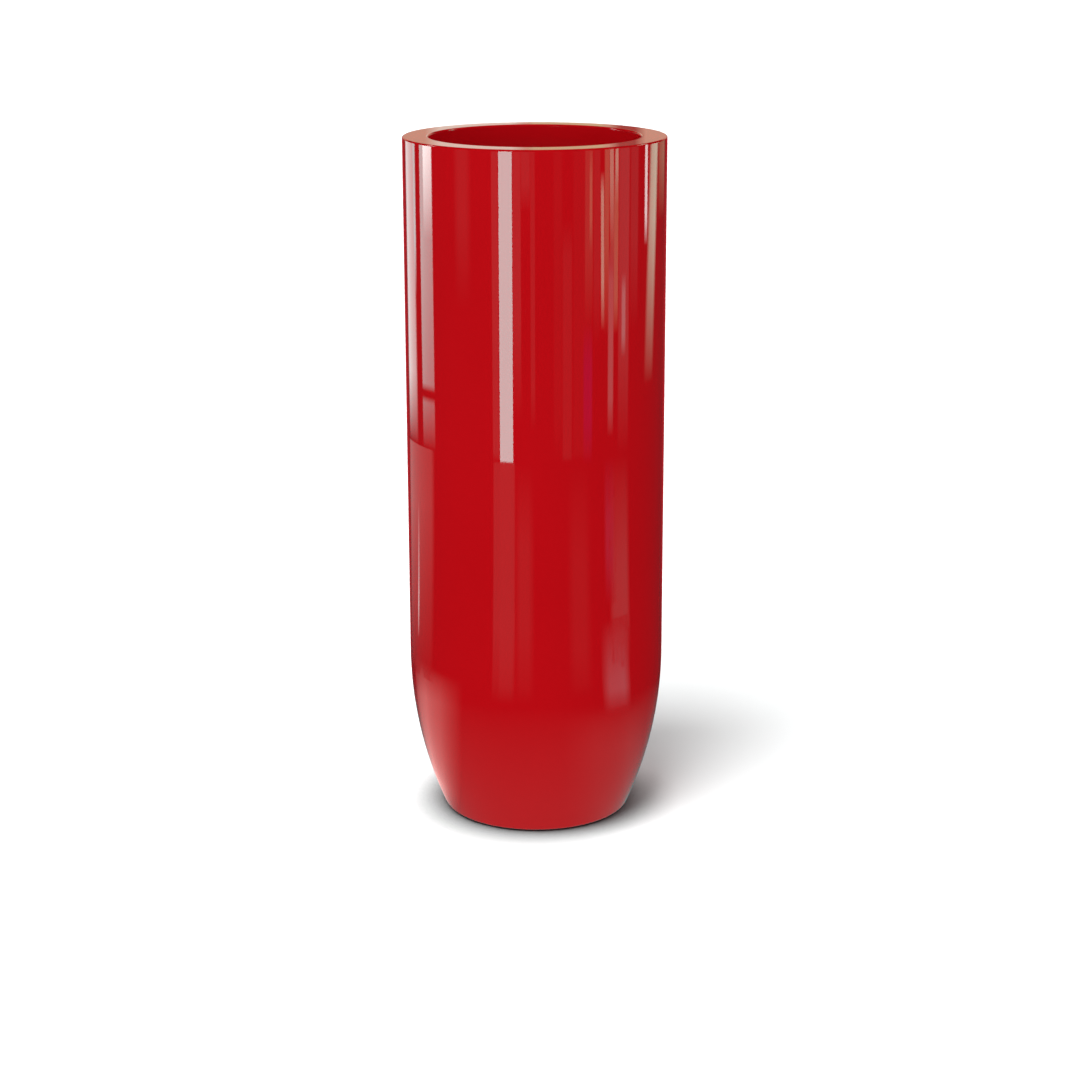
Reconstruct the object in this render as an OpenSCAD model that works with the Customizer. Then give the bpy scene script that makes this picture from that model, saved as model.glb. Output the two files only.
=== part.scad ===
// Tall round planter with a turned-in rim, a lift-out shelf and a lift-out liner.
// Origin: on the ground, at the centre of the foot. +Z is up.

/* [Vessel] */
// Height of the rim above the ground
total_h = 1000; // [850:10:1300]
// Outside diameter of the straight wall
body_d = 375; // [312:1:480]
// Height over which the wall curves in to the foot
curve_h = 240; // [180:5:300]
// Radius of that curve, seen from the side
curve_r = 593; // [480:1:900]
// Thickness of the laminated wall
wall_t = 4; // [3:0.5:6]
// Width of the flat rim from the outer wall to the opening
rim_w = 37.5; // [28:0.5:46]
// Thickness of the rim's flange
rim_t = 5; // [4:0.5:8]
// Depth of the skirt that hangs from the rim's inner edge
skirt_h = 50; // [40:1:80]
// Radius of the rim's outer edge
rim_outer_r = 2.5; // [1:0.5:4]
// Radius of the rim's inner edge
rim_inner_r = 3; // [1:0.5:3]
// Thickness of the plywood ring bonded under the flange
stiffener_t = 18; // [9:1:24]

/* [Foot] */
// Radius of the edge where the wall meets the ground face
foot_edge_r = 6; // [3:0.5:10]
// Width of the flat ring that the planter stands on
foot_ring_w = 22; // [20:1:30]
// Depth of the recess inside that ring
recess_h = 8; // [7:0.5:14]
// Thickness of the laminated bottom
base_t = 5; // [4:0.5:8]
// Thickness of the plywood board bonded on the bottom
board_t = 12; // [9:1:20]
// Number of rubber pads under the ring
pads = 4; // [3:1:6]
// Diameter of a pad
pad_d = 18; // [12:1:20]
// Height by which the pads hold the planter off the ground
pad_h = 2; // [1.5:0.5:5]
// Diameter of a pad's push-in stem
pad_stem_d = 6; // [4:0.5:8]

/* [Drain] */
// Bore of the drain bush
drain_d = 22; // [16:1:32]
// Thickness of the bush's barrel
bush_t = 4; // [3:0.5:6]
// Diameter of the bush's flange
bush_flange_d = 48; // [44:1:70]
// Thickness of the bush's flange
bush_flange_t = 3; // [2:0.5:5]
// Thickness of the gasket under that flange
gasket_t = 1.5; // [1:0.5:3]
// Width across the flats of the bush's nut
nut_af = 42; // [41:1:60]
// Thickness of that nut
nut_t = 5; // [4:0.5:6]
// Radial gap between the plug and the bush
plug_play = 0.3; // [0.2:0.05:0.6]
// Diameter of the plug's head
plug_head_d = 34; // [30:1:42]
// Thickness of the plug's head
plug_head_t = 4; // [3:0.5:6]
// Diameter of the knob that the plug is pulled by
knob_d = 18; // [14:1:26]
// Height of that knob above the head
knob_h = 15; // [12:1:24]
// Thickness of the plug's sealing ring
o_ring_t = 2.3; // [1.8:0.1:3]

/* [Shelf] */
// Thickness of the lift-out shelf
shelf_t = 12; // [9:1:18]
// Radial gap between the shelf and the skirt
shelf_play = 4; // [3:0.5:6]
// Diameter of the shelf's finger holes
finger_d = 26; // [20:1:28]
// Number of drain holes round the shelf's centre
shelf_drains = 6; // [4:1:10]
// Diameter of the shelf's drain holes
shelf_drain_d = 12; // [8:1:16]
// Number of blocks that carry the shelf
cleats = 4; // [4:2:6]
// Angle that each block spans round the wall
cleat_angle = 18; // [12:1:24]
// Height of a block at the wall
cleat_h = 40; // [30:1:60]
// Height of a block at its inner end
cleat_nose_h = 14; // [10:1:20]
// Length of shelf that rests on each block
cleat_bearing = 20; // [14:1:26]

/* [Liner] */
// Height of the liner from the shelf to its lip
liner_h = 285; // [200:5:340]
// Thickness of the liner
liner_t = 3; // [2:0.5:4]
// Amount by which the liner's radius shrinks from lip to bottom
liner_taper = 13; // [8:1:20]
// Radial gap between the liner's lip and the skirt
liner_play = 7; // [6:0.5:10]
// Gap between the skirt's lower edge and the liner's highest point
liner_gap = 6; // [4:0.5:20]
// Width of the liner's lip
lip_w = 22; // [22:0.5:26]
// Depth of the lip's turned-down edge
lip_drop = 8; // [5:0.5:14]
// Height of the collar's clip round the top of the liner
clip_h = 12; // [8:1:20]
// Thickness of that clip
clip_t = 2; // [1.5:0.5:2.5]
// Height of the liner's floor above the shelf
floor_gap = 5; // [3:0.5:10]
// Number of drain holes round the liner's centre
liner_drains = 6; // [4:1:8]
// Diameter of the liner's drain holes
liner_drain_d = 10; // [6:1:14]
// Length of the notch in the lip under each handle
notch_l = 64; // [50:1:90]

/* [Handles] */
// Width of a handle's ring, seen from above
handle_w = 10; // [8:0.5:11]
// Thickness of a handle's ring
handle_t = 6; // [5:0.5:7]
// Diameter of the eye at each end of a handle
eye_d = 10; // [9:0.5:12]
// Distance from the liner's middle to each handle's pivot axis
pivot_x = 12; // [11:0.5:16]
// Diameter of a pivot pin
pin_d = 5; // [4:0.5:6]
// Radial gap between a pin and a handle's eye
pin_play = 0.05; // [0.05:0.01:0.1]
// Thickness of the ears on each side of an eye
ear_t = 4; // [3:0.5:4]
// Gap between an eye and its ears
ear_play = 0.5; // [0.3:0.1:0.8]

/* [Hidden] */
$fn = 180;
gap = 0.3;            // running gap over a resting face
over = 1;             // how far a cut runs past the face that it opens
rim_z = total_h;
body_r = body_d / 2;
inner_r = body_r - wall_t;
opening_r = body_r - rim_w;
foot_z = pad_h;
curve_z = foot_z + curve_h;
arc_x = body_r - curve_r;          // the curve's centre lies beyond the vessel's axis
edge_z = foot_z + foot_edge_r;
foot_r = wall_r(edge_z, foot_edge_r);
edge_tilt = asin((curve_z - edge_z) / (curve_r - foot_edge_r));
recess_r = foot_r - foot_ring_w;
board_z = foot_z + recess_h + base_t;
board_top = board_z + board_t;
board_r = wall_r(board_z, wall_t) - gap;
pad_ring_r = foot_r - foot_ring_w / 2;
barb_h = 2;           // height of a pad stem's barb
barb_w = 0.8;         // how far that barb stands out
pad_chamfer = 0.5;    // chamfer round a pad's underside

clear = 2;            // ground clearance of the bush above the foot's face
bush_r = drain_d / 2 + bush_t;
flange_z = board_top + gasket_t;
flange_top = flange_z + bush_flange_t;
bush_low = foot_z + clear;
nut_z = foot_z + recess_h - nut_t;
plug_r = drain_d / 2 - plug_play;
plug_rise = 8;        // from the bush's lower end to the plug's
plug_low = bush_low + plug_rise;
plug_lead = 2;        // chamfer at the plug's lower end
head_chamfer = 1;     // chamfer round the top of the plug's head
groove_z = (flange_z + plug_low) / 2;
o_ring_play = 0.1;    // gap on each side of the sealing ring
groove_r = plug_r - o_ring_t + 2 * o_ring_play;
o_ring_r = drain_d / 2 - o_ring_play - o_ring_t / 2;
knob_grip = 4;        // how far the knob overhangs its neck
knob_neck_r = knob_d / 2 - knob_grip;
knob_edge_r = 3;

ear_rise = gap + eye_d;            // height of the ears above the lip
lip_z = rim_z - skirt_h - liner_gap - ear_rise;
lip_r = opening_r - liner_play;
lip_in_r = lip_r - lip_w;
collar_z = lip_z - liner_t;        // underside of the lip
liner_top_r = lip_in_r + liner_t;
liner_low_r = liner_top_r - liner_taper;
shelf_top = lip_z - liner_h;
shelf_z = shelf_top - shelf_t;
shelf_r = opening_r - shelf_play;
finger_r = (liner_low_r + shelf_r) / 2;
shelf_drain_share = 0.55;          // rings of drain holes, as shares of the liner's radius
liner_drain_share = 0.6;
shelf_drain_ring_r = liner_low_r * shelf_drain_share;
liner_drain_ring_r = liner_low_r * liner_drain_share;
cleat_r = shelf_r - cleat_bearing;
cleat_foot = 12;      // width of a block's lower face at the wall

eye_side = 1.5;       // from the lip's outer edge to the outer ear
ear_slack = 1;        // extra room inside each pair of ears for the ring's curve
ear_out_y = lip_r - eye_side - ear_t;
ring_out_r = ear_out_y - ear_play;
ring_in_r = ring_out_r - handle_w;
ear_in_y = ring_in_r - 2 * ear_play - ear_t - ear_slack;
pivot_z = lip_z + gap + eye_d / 2;
ring_drop = 0.2;      // from the eye's underside up to the ring's
ring_z = lip_z + gap + ring_drop;
ring_soft = 4;        // the ring's thickness over its corner radius
pivot_angle = acos(pivot_x / ((ring_in_r + ring_out_r) / 2));
pin_head_over = 1.5;  // how far a pin's head overhangs the pin
pin_head_d = pin_d + 2 * pin_head_over;
pin_head_t = 0.8;
notch_in = 1;         // from the clip to the notch's inner edge

gloss_red = [0.72, 0.06, 0.10];
ply_brown = [0.72, 0.58, 0.40];
cleat_brown = [0.45, 0.32, 0.20];
rubber_black = [0.06, 0.06, 0.06];
drain_grey = [0.30, 0.31, 0.32];
ring_grey = [0.20, 0.20, 0.21];
liner_black = [0.10, 0.10, 0.11];
zinc_grey = [0.66, 0.67, 0.68];

// Radius of the vessel's side at height z, moved in by inset
function wall_r(z, inset = 0) =
  z >= curve_z ? body_r - inset
               : arc_x + sqrt(pow(curve_r - inset, 2) - pow(curve_z - z, 2));

// Direction of place i of n equal places round the axis
function place(i, n) = (i - 1) * 360 / n;

// Half section of the vessel between two heights, with its side moved in by inset
module vessel_half(inset, low, high) {
  translate([0, curve_z]) square([body_r - inset, high - curve_z]);
  intersection() {
    translate([0, low]) square([body_r, curve_z - low]);
    translate([arc_x, curve_z]) circle(curve_r - inset);
  }
}

// What rounding by r takes off a corner, seen from the rounding's centre: a wedge less a circle
module corner_waste(r, from, to) {
  reach = 3 * r;
  middle = (from + to) / 2;
  difference() {
    polygon([
      [0, 0],
      [reach * cos(from), reach * sin(from)],
      [reach * cos(middle), reach * sin(middle)],
      [reach * cos(to), reach * sin(to)]
    ]);
    circle(r);
  }
}

// Rectangle with round corners, for small moulded sections
module soft_bar(w, h, r) {
  translate([r, 0]) square([w - 2 * r, h]);
  translate([0, r]) square([w, h - 2 * r]);
  for (x = [r, w - r], y = [r, h - r]) translate([x, y]) circle(r);
}

module outer_shell() {
  cavity_z = foot_z + base_t;
  color(gloss_red) difference() {
    rotate_extrude() difference() {
      vessel_half(0, foot_z, rim_z - rim_t);
      translate([foot_r, edge_z]) corner_waste(foot_edge_r, -90, -edge_tilt);
      // hollow, less the raised middle of the bottom
      difference() {
        vessel_half(wall_t, cavity_z, rim_z);
        translate([0, cavity_z]) square([recess_r + base_t, board_z - cavity_z]);
      }
      // recess under the bottom, and the drain hole
      translate([0, foot_z - over]) square([recess_r, recess_h + over]);
      square([bush_r, board_z + over]);
    }
    for (i = [1:pads]) rotate(place(i, pads))
      translate([pad_ring_r, 0, 0]) cylinder(d = pad_stem_d, h = cavity_z + over);
  }
}

// Flat rim with its skirt, bonded on the top edge of the shell
module rim_ring() {
  color(gloss_red) rotate_extrude() difference() {
    union() {
      translate([opening_r, rim_z - rim_t]) square([rim_w, rim_t]);
      translate([opening_r, rim_z - skirt_h]) square([wall_t, skirt_h]);
    }
    translate([body_r - rim_outer_r, rim_z - rim_outer_r]) corner_waste(rim_outer_r, 0, 90);
    translate([opening_r + rim_inner_r, rim_z - rim_inner_r]) corner_waste(rim_inner_r, 90, 180);
  }
}

module rim_stiffener() {
  color(ply_brown) rotate_extrude()
    translate([opening_r + wall_t, rim_z - rim_t - stiffener_t])
      square([inner_r - opening_r - wall_t, stiffener_t]);
}

module base_board() {
  color(ply_brown) translate([0, 0, board_z]) difference() {
    cylinder(r = board_r, h = board_t);
    translate([0, 0, -over]) cylinder(r = bush_r, h = board_t + 2 * over);
  }
}

module drain_bush() {
  color(drain_grey) rotate_extrude() {
    translate([drain_d / 2, bush_low]) square([bush_t, flange_top - bush_low]);
    translate([drain_d / 2, flange_z])
      square([(bush_flange_d - drain_d) / 2, bush_flange_t]);
  }
}

module drain_gasket() {
  color(rubber_black) rotate_extrude()
    translate([bush_r, board_top]) square([bush_flange_d / 2 - bush_r, gasket_t]);
}

module drain_nut() {
  color(drain_grey) translate([0, 0, nut_z]) difference() {
    cylinder(d = nut_af / cos(30), h = nut_t, $fn = 6);
    translate([0, 0, -over]) cylinder(r = bush_r, h = nut_t + 2 * over);
  }
}

module drain_plug() {
  head_r = plug_head_d / 2;
  head_top = flange_top + plug_head_t;
  color(rubber_black) rotate_extrude() {
    difference() {
      polygon([
        [0, plug_low], [plug_r - plug_lead, plug_low], [plug_r, plug_low + plug_lead],
        [plug_r, flange_top], [head_r, flange_top], [head_r, head_top - head_chamfer],
        [head_r - head_chamfer, head_top], [knob_neck_r, head_top],
        [knob_neck_r, head_top + knob_h / 2], [0, head_top + knob_h / 2]
      ]);
      translate([groove_r, groove_z - o_ring_t / 2]) square([o_ring_t, o_ring_t]);
    }
    translate([0, head_top + knob_h / 2]) square([knob_d / 2 - knob_edge_r, knob_h / 2]);
    translate([knob_d / 2 - knob_edge_r, head_top + knob_h - knob_edge_r]) circle(knob_edge_r);
    translate([0, head_top + knob_h / 2])
      square([knob_d / 2, knob_h / 2 - knob_edge_r]);
  }
}

module plug_o_ring() {
  color(ring_grey) rotate_extrude()
    translate([o_ring_r, groove_z]) circle(d = o_ring_t);
}

module shelf_cleat(i) {
  // the blocks stand clear of the finger holes, which are at 0 and 180 degrees
  turn = place(i, cleats) + 180 / cleats - cleat_angle / 2;
  color(cleat_brown) rotate(turn) rotate_extrude(angle = cleat_angle)
    polygon([
      [cleat_r, shelf_z], [inner_r, shelf_z], [inner_r, shelf_z - cleat_h],
      [inner_r - cleat_foot, shelf_z - cleat_h], [cleat_r, shelf_z - cleat_nose_h]
    ]);
}

module foot_pad(i) {
  stem_top = foot_z + base_t;
  stem_r = pad_stem_d / 2;
  color(rubber_black) rotate(place(i, pads)) translate([pad_ring_r, 0, 0])
    rotate_extrude() polygon([
      [0, 0], [pad_d / 2 - pad_chamfer, 0], [pad_d / 2, pad_chamfer], [pad_d / 2, pad_h],
      [stem_r, pad_h],
      [stem_r, stem_top], [stem_r + barb_w, stem_top], [stem_r - barb_w, stem_top + barb_h],
      [0, stem_top + barb_h]
    ]);
}

module shelf_board() {
  color(ply_brown) translate([0, 0, shelf_z]) difference() {
    cylinder(r = shelf_r, h = shelf_t);
    translate([0, 0, -over]) {
      for (side = [0, 180]) rotate(side)
        translate([finger_r, 0, 0]) cylinder(d = finger_d, h = shelf_t + 2 * over);
      for (i = [1:shelf_drains]) rotate(place(i, shelf_drains))
        translate([shelf_drain_ring_r, 0, 0])
          cylinder(d = shelf_drain_d, h = shelf_t + 2 * over);
    }
  }
}

// One pair of ears at a pivot, bored for its pin
module ears(x, side) {
  for (y = [ear_in_y, ear_out_y]) {
    face = side > 0 ? y + ear_t : -y;
    translate([x, face, lip_z]) rotate([90, 0, 0]) difference() {
      union() {
        translate([-eye_d / 2, 0, 0]) cube([eye_d, pivot_z - lip_z, ear_t]);
        translate([0, pivot_z - lip_z, 0]) cylinder(d = eye_d, h = ear_t);
      }
      translate([0, pivot_z - lip_z, -over]) cylinder(d = pin_d, h = ear_t + 2 * over);
    }
  }
}

module liner() {
  floor_z = shelf_top + floor_gap;
  low_in_r = liner_low_r - liner_t;
  straight_z = collar_z - clip_h;
  color(liner_black) difference() {
    rotate_extrude() polygon([
      [0, floor_z], [low_in_r, floor_z], [low_in_r, shelf_top], [liner_low_r, shelf_top],
      [liner_top_r, straight_z], [liner_top_r, collar_z], [lip_in_r, collar_z],
      [lip_in_r, straight_z], [low_in_r, floor_z + liner_t], [0, floor_z + liner_t]
    ]);
    for (i = [0:liner_drains]) rotate(place(i, liner_drains))
      translate([i == 0 ? 0 : liner_drain_ring_r, 0, floor_z - over])
        cylinder(d = liner_drain_d, h = liner_t + 2 * over);
  }
}

// Lip that clips round the liner's top edge and carries the handles' ears
module liner_collar() {
  color(liner_black) {
    difference() {
      rotate_extrude() {
        translate([lip_in_r, collar_z]) square([lip_w, liner_t]);
        translate([lip_r - liner_t, lip_z - lip_drop]) square([liner_t, lip_drop]);
        translate([liner_top_r, collar_z - clip_h]) square([clip_t, clip_h + liner_t]);
      }
      // notches for the fingers
      for (side = [0, 180]) rotate(side)
        translate([liner_top_r + clip_t + notch_in, -notch_l / 2, lip_z - lip_drop - over])
          cube([lip_w, notch_l, lip_drop + 2 * over]);
    }
    for (x = [-pivot_x, pivot_x], side = [-1, 1]) ears(x, side);
  }
}

// Half ring on the lip that turns up about the two pivots at x = pivot_x
module handle() {
  color(liner_black) difference() {
    union() {
      rotate(-pivot_angle) rotate_extrude(angle = 2 * pivot_angle)
        translate([ring_in_r, ring_z]) soft_bar(handle_w, handle_t, handle_t / ring_soft);
      for (side = [-1, 1])
        translate([pivot_x, side > 0 ? ring_out_r : -ring_in_r, pivot_z])
          rotate([90, 0, 0]) cylinder(d = eye_d, h = handle_w);
    }
    translate([pivot_x, lip_r, pivot_z])
      rotate([90, 0, 0]) cylinder(r = pin_d / 2 + pin_play, h = 2 * lip_r);
  }
}

module handle_right() { handle(); }
module handle_left() { rotate(180) handle(); }

module handle_pivots() {
  pin_l = ear_out_y + ear_t - ear_in_y;
  color(zinc_grey) for (x = [-pivot_x, pivot_x], side = [0, 180]) rotate(side)
    translate([x, ear_in_y, pivot_z]) rotate([-90, 0, 0]) {
      cylinder(d = pin_d, h = pin_l);
      translate([0, 0, pin_l]) cylinder(d = pin_head_d, h = pin_head_t);
      translate([0, 0, -pin_head_t]) cylinder(d = pin_head_d, h = pin_head_t);
    }
}

outer_shell();
rim_ring();
rim_stiffener();
base_board();
drain_bush();
drain_gasket();
drain_nut();
drain_plug();
plug_o_ring();
shelf_board();
liner();
liner_collar();
handle_left();
handle_right();
handle_pivots();
for (i = [1:cleats]) shelf_cleat(i);
for (i = [1:pads]) foot_pad(i);
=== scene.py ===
import math

import bmesh
import bpy
from mathutils import Matrix, Vector


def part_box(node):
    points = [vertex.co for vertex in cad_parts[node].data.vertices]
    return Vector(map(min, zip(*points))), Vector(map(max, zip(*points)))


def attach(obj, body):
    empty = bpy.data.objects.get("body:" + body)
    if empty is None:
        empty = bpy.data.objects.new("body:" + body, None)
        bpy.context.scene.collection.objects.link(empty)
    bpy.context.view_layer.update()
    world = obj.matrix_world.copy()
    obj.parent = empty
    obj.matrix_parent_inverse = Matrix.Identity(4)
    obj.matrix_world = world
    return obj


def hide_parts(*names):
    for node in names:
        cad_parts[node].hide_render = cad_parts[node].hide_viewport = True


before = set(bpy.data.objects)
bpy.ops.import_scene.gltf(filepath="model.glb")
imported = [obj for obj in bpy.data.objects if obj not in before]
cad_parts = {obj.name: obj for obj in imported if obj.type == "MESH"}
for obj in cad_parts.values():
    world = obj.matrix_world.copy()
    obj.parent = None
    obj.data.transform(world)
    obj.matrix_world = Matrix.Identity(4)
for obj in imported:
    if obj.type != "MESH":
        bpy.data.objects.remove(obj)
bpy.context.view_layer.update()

# A tall round planter in red lacquer, with a drain, a lift-out shelf and a lift-out liner.

# ---------------------------------------------------------------------------------------------
# Sizes in metres. Each starts from a node's box, or is the dimension that the CAD gives it.
# ---------------------------------------------------------------------------------------------
MM = 0.001
TURN = 384       # steps round the vessel
SHARP = math.radians(32)                # edges that turn more than this are shaded sharp

SHELL_LOW, SHELL_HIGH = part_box("outer_shell")
RIM_LOW, RIM_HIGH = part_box("rim_ring")
BODY_R = RIM_HIGH.x
RIM_Z = RIM_HIGH.z
FOOT_Z = SHELL_LOW.z
WALL = 4 * MM
OPENING_R = BODY_R - 37.5 * MM
FLANGE_Z = SHELL_HIGH.z
CURVE_Z = FOOT_Z + 240 * MM
CURVE_R = 593 * MM
CURVE_X = BODY_R - CURVE_R
FOOT_EDGE = 6 * MM
RECESS = 8 * MM
BASE = 5 * MM
FOOT_RING = 22 * MM

LIP_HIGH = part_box("liner_collar")[1]
POT_LOW, POT_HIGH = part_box("liner")
SHELF_LOW, SHELF_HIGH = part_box("shelf_board")
SHELF_R = SHELF_HIGH.x
LINER_WALL = 3 * MM
LIP_R = LIP_HIGH.x
LIP_IN = LIP_R - 22 * MM
LIP_Z = POT_HIGH.z + LINER_WALL
CLIP = 2 * MM
CLIP_H = 12 * MM
LIP_DROP = 8 * MM
POT_TAPER = 13 * MM
POT_FLOOR = POT_LOW.z + 5 * MM
EYE_R = 5 * MM
PIVOT_X = 12 * MM
PIVOT_Z = LIP_HIGH.z - EYE_R
EAR = 4 * MM
INNER_EAR_Y = 121 * MM                  # the near face of the ear inside a handle's eye
OUTER_EAR_Y = 137.5 * MM                # and of the ear outside it
PIN_R = 2.5 * MM
HANDLE_R = 137 * MM
HANDLE_W = 10 * MM
HANDLE_T = 6 * MM


# ---------------------------------------------------------------------------------------------
# Shapes
# ---------------------------------------------------------------------------------------------
def arc(centre, radius, start, end, steps=12):
    """Points on an arc of a half section, with angles in degrees."""
    turns = [math.radians(start + (end - start) * i / steps) for i in range(steps + 1)]
    return [(centre[0] + radius * math.cos(a), centre[1] + radius * math.sin(a)) for a in turns]


def soften(outline, radius, steps=5, guard=0.35 * MM):
    """The closed outline with each corner rounded, and a point just before and after each round."""
    soft = []
    for i, corner in enumerate(outline):
        here = Vector(corner)
        back = Vector(outline[i - 1]) - here
        ahead = Vector(outline[(i + 1) % len(outline)]) - here
        half = back.angle(ahead) / 2
        cut = min(radius / math.tan(half), 0.42 * back.length, 0.42 * ahead.length)
        bend = cut * math.tan(half)
        middle = here + (back.normalized() + ahead.normalized()).normalized() * (bend / math.sin(half))
        first = here + back.normalized() * cut - middle
        last = here + ahead.normalized() * cut - middle
        if cut + guard < 0.48 * back.length:
            soft.append(tuple(here + back.normalized() * (cut + guard)))
        begin = math.degrees(math.atan2(first.y, first.x))
        sweep = (math.degrees(math.atan2(last.y, last.x)) - begin + 180) % 360 - 180
        soft += arc(middle, bend, begin, begin + sweep, steps)
        if cut + guard < 0.48 * ahead.length:
            soft.append(tuple(here + ahead.normalized() * (cut + guard)))
    return soft


def revolve(outline, steps=TURN, material=lambda point: 0, radius=lambda r, turn: r):
    """A closed half section turned once round the Z axis. material gives the slot of the faces that
    start at a point of it, and radius bends the section's radius with the turn."""
    bm = bmesh.new()
    rings = []
    for i in range(steps):
        turn = 2 * math.pi * i / steps
        rings.append([bm.verts.new((radius(r, turn) * math.cos(turn), radius(r, turn) * math.sin(turn), z))
                      for r, z in outline])
    for i in range(steps):
        near, far = rings[i], rings[(i + 1) % steps]
        for j in range(len(outline)):
            k = (j + 1) % len(outline)
            face = bm.faces.new((near[j], far[j], far[k], near[k]))
            face.material_index = material(outline[j])
    bmesh.ops.remove_doubles(bm, verts=bm.verts, dist=1e-7)
    bmesh.ops.dissolve_degenerate(bm, edges=bm.edges, dist=1e-7)
    bmesh.ops.recalc_face_normals(bm, faces=bm.faces)
    return bm


def circle(x, y, radius, steps=96):
    """Points round a circle, counterclockwise."""
    return [(x + radius * math.cos(2 * math.pi * i / steps), y + radius * math.sin(2 * math.pi * i / steps))
            for i in range(steps)]


def plate(outside, holes, thickness, edge):
    """A flat plate with holes, lying on z = 0, whose corners are rounded by edge."""
    curve = bpy.data.curves.new("plate", "CURVE")
    curve.dimensions = "2D"
    curve.fill_mode = "BOTH"
    curve.extrude = thickness / 2 - edge
    curve.bevel_depth = edge
    curve.bevel_resolution = 3
    for outline in [outside] + [list(reversed(h)) for h in holes]:
        spline = curve.splines.new("POLY")
        spline.points.add(len(outline) - 1)
        for point, (x, y) in zip(spline.points, outline):
            point.co = (x, y, 0, 1)
        spline.use_cyclic_u = True
    maker = bpy.data.objects.new("plate", curve)
    bpy.context.scene.collection.objects.link(maker)
    bpy.context.view_layer.update()
    bm = bmesh.new()
    bm.from_mesh(maker.evaluated_get(bpy.context.evaluated_depsgraph_get()).to_mesh())
    bpy.data.objects.remove(maker)
    bpy.data.curves.remove(curve)
    bmesh.ops.remove_doubles(bm, verts=bm.verts, dist=1e-6)
    bmesh.ops.translate(bm, verts=bm.verts, vec=(0, 0, thickness / 2))
    bmesh.ops.recalc_face_normals(bm, faces=bm.faces)
    return bm


def box_form(low, high, edge):
    """A block between two corners with rounded edges."""
    bm = bmesh.new()
    bmesh.ops.create_cube(bm, size=1)
    size = Vector(high) - Vector(low)
    bmesh.ops.scale(bm, verts=bm.verts, vec=size)
    bmesh.ops.translate(bm, verts=bm.verts, vec=Vector(low) + size / 2)
    bmesh.ops.bevel(bm, geom=bm.edges, offset=edge, segments=3, affect="EDGES", profile=0.5)
    return bm


def moved(bm, matrix):
    """The same form, transformed."""
    bmesh.ops.transform(bm, matrix=matrix, verts=bm.verts)
    return bm


def together(*parts):
    """One form that holds all the parts."""
    whole = bmesh.new()
    for part in parts:
        mesh = bpy.data.meshes.new("part")
        part.to_mesh(mesh)
        part.free()
        whole.from_mesh(mesh)
        bpy.data.meshes.remove(mesh)
    return whole


def as_object(name, bm, *materials):
    """The form as an object, shaded smooth but for its sharp edges."""
    for face in bm.faces:
        face.smooth = True
    for edge in bm.edges:
        edge.smooth = len(edge.link_faces) == 2 and edge.calc_face_angle() < SHARP
    mesh = bpy.data.meshes.new(name)
    bm.to_mesh(mesh)
    bm.free()
    for material in materials:
        mesh.materials.append(material)
    obj = bpy.data.objects.new(name, mesh)
    bpy.context.scene.collection.objects.link(obj)
    return obj


def piece(name, bm, body, slot, materials, *nodes):
    """A finished piece of the object, which stands for CAD nodes and moves with their body."""
    obj = as_object(name, bm, *materials)
    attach(obj, body)
    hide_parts(*nodes)
    return obj


def carve(bm, *cutters):
    """The form with the cutters taken away."""
    target = as_object("target", bm)
    knives = [as_object("knife", cutter) for cutter in cutters]
    for knife in knives:
        cut = target.modifiers.new("cut", "BOOLEAN")
        cut.operation = "DIFFERENCE"
        cut.solver = "EXACT"
        cut.object = knife
    bpy.context.view_layer.update()
    carved = bmesh.new()
    carved.from_mesh(target.evaluated_get(bpy.context.evaluated_depsgraph_get()).to_mesh())
    for obj in [target] + knives:
        bpy.data.objects.remove(obj)
    return carved


# ---------------------------------------------------------------------------------------------
# Materials
# ---------------------------------------------------------------------------------------------
def shader(name, **sockets):
    """A material with one Principled shader, and its uniform values on the shader's own sockets."""
    made = bpy.data.materials.new(name)
    made.use_nodes = True
    bsdf = made.node_tree.nodes["Principled BSDF"]
    for socket, value in sockets.items():
        bsdf.inputs[socket.replace("_", " ")].default_value = value
    return made, bsdf


def node(made, kind, settings=None, **inputs):
    """A node with its settings, and its inputs given as values or as sockets to link."""
    new = made.node_tree.nodes.new("ShaderNode" + kind)
    for key, value in (settings or {}).items():
        setattr(new, key, value)
    for key, value in inputs.items():
        target = new.inputs[int(key[1:])] if key[0] == "i" and key[1:].isdigit() else new.inputs[key]
        if isinstance(value, bpy.types.NodeSocket):
            made.node_tree.links.new(value, target)
        else:
            target.default_value = value
    return new


def join(made, source, target):
    made.node_tree.links.new(source, target)


def place(made, scale=(1, 1, 1)):
    """Coordinates in the object's own frame, in metres, stretched by scale."""
    coords = node(made, "TexCoord")
    return node(made, "Mapping", Vector=coords.outputs["Object"], Scale=scale).outputs["Vector"]


def ramp(made, factor, *stops):
    """Colours or greys that follow a factor: each stop is (position, colour)."""
    new = node(made, "ValToRGB", i0=factor)
    new.color_ramp.elements.remove(new.color_ramp.elements[1])
    for i, (position, colour) in enumerate(stops):
        element = new.color_ramp.elements[0] if i == 0 else new.color_ramp.elements.new(position)
        element.position = position
        element.color = (*colour, 1) if isinstance(colour, tuple) else (colour, colour, colour, 1)
    return new.outputs["Color"]


def noise(made, where, scale, detail=3, roughness=0.5, distortion=0):
    return node(made, "TexNoise", Vector=where, Scale=scale, Detail=detail, Roughness=roughness,
                Distortion=distortion).outputs["Fac"]


def bump(made, height, distance, under=None):
    """The normal of a surface raised by height times distance, on top of another bump's, if any."""
    new = node(made, "Bump", Height=height, Distance=distance, Strength=1)
    if under is not None:
        join(made, under, new.inputs["Normal"])
    return new.outputs["Normal"]


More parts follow.
